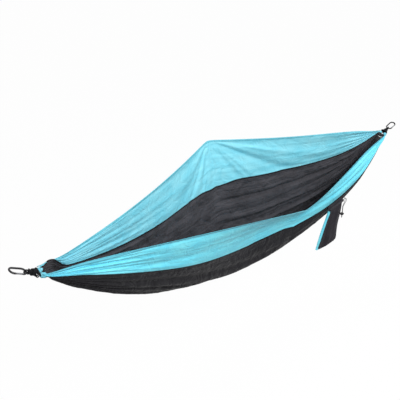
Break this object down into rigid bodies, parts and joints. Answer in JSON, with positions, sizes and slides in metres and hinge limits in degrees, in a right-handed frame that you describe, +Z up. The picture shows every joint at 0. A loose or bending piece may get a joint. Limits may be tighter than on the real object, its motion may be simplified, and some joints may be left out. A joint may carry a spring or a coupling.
{
  "type": "hammock",
  "caption": "Camping hammock in pale blue and dark grey nylon, gathered on cord loops with a clip at each end, a stuff sack with drawcord and cord lock sewn to its front seam",
  "frame": {"origin": "where the foot clip's rod bears on its anchor", "axes": "+X runs level to the head clip's bearing point, +Y is the back side whose edge is pulled out, +Z is up"},
  "size_m": [2.7355, 0.5004, 0.81],
  "materials": {
    "light_cloth": "satin",
    "dark_cloth": "satin",
    "cord": "matte",
    "clip_black": "satin",
    "gate_grey": "satin",
    "steel": "satin",
    "lock_plastic": "matte"
  },
  "bodies": {
    "hammock": {"front_edge_hem": "light_cloth", "front_side_panel": "light_cloth", "front_seam": "dark_cloth", "centre_panel": "dark_cloth", "back_seam": "dark_cloth", "back_side_panel": "light_cloth", "back_edge_hem": "light_cloth", "foot_end_channel": "dark_cloth", "foot_end_cord": "cord", "foot_cord_whipping": "cord", "head_end_channel": "dark_cloth", "head_end_cord": "cord", "head_cord_whipping": "cord", "sack_seam_tab": "dark_cloth"},
    "foot_clip": {"foot_clip_frame": "clip_black", "foot_clip_gate_pin": "steel"},
    "foot_gate": {"foot_clip_gate": "gate_grey", "foot_clip_gate_pusher": "steel", "foot_clip_gate_spring": "steel"},
    "head_clip": {"head_clip_frame": "clip_black", "head_clip_gate_pin": "steel"},
    "head_gate": {"head_clip_gate": "gate_grey", "head_clip_gate_pusher": "steel", "head_clip_gate_spring": "steel"},
    "sack": {"sack_front_panel": "dark_cloth", "sack_back_panel": "light_cloth", "sack_side_seam": "dark_cloth", "sack_mouth_hem": "dark_cloth", "sack_drawcord": "cord", "drawcord_knot": "cord"},
    "cord_lock": {"cord_lock_body": "lock_plastic"},
    "lock_button": {"cord_lock_button": "lock_plastic", "cord_lock_spring": "steel"}
  },
  "joints": [
    {"name": "foot_clip_swing", "type": "hinge", "parent": "hammock", "child": "foot_clip", "pos_m": [0.05881, 0, -0.02996], "axis": [0.1098, 0.9703, 0.2156], "range_deg": [-60, 60]},
    {"name": "foot_gate_hinge", "type": "hinge", "parent": "foot_clip", "child": "foot_gate", "pos_m": [0.03734, -0.0165, -0.02364], "axis": [-0.4405, 0.2419, -0.8645], "range_deg": [0, 25], "stiffness_Nm_per_rad": 0.05, "springref_deg": -28.65},
    {"name": "head_clip_swing", "type": "hinge", "parent": "hammock", "child": "head_clip", "pos_m": [2.65798, 0, -0.02257], "axis": [-0.0827, 0.9703, 0.2273], "range_deg": [-60, 60]},
    {"name": "head_gate_hinge", "type": "hinge", "parent": "head_clip", "child": "head_gate", "pos_m": [2.68006, -0.0165, -0.01891], "axis": [-0.3319, -0.2419, 0.9118], "range_deg": [0, 25], "stiffness_Nm_per_rad": 0.05, "springref_deg": -28.65},
    {"name": "sack_swing", "type": "hinge", "parent": "hammock", "child": "sack", "pos_m": [2.17994, 0.04065, -0.43298], "axis": [-0.7966, 0.3091, -0.5196], "range_deg": [0, 55]},
    {"name": "cord_lock_slide", "type": "slide", "parent": "sack", "child": "cord_lock", "axis": [0, 0, 1], "range_m": [-0.004, 0.034]},
    {"name": "lock_button_press", "type": "slide", "parent": "cord_lock", "child": "lock_button", "axis": [-0.9323, 0.3618, 0], "range_m": [0, 0.003], "stiffness_N_per_m": 400, "springref_m": -0.003, "deforming": ["cord_lock_spring"]}
  ]
}
